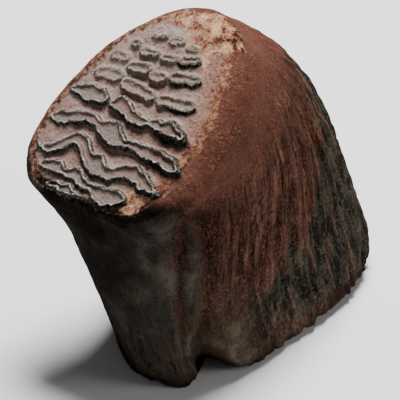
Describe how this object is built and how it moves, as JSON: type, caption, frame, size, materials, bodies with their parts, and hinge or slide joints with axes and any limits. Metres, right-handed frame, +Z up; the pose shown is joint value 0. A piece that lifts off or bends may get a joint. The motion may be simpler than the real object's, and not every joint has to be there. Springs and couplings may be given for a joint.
{
  "type": "fossil mammoth molar",
  "caption": "Fossil mammoth molar: a tall tooth with a sloping chewing surface of raised enamel plates, ribbed sides and a grooved root.",
  "frame": {"origin": "on the ground under the middle of the tooth's bounding box", "axes": "+X towards the unworn back of the tooth, -Y towards the side with the grooved root, +Z up"},
  "size_m": [0.1836, 0.1108, 0.1706],
  "materials": {
    "tooth": "dull polish, mineral brown with taupe and blue-grey on the chewing surface"
  },
  "bodies": {
    "root": {"molar": "tooth"}
  },
  "joints": []
}
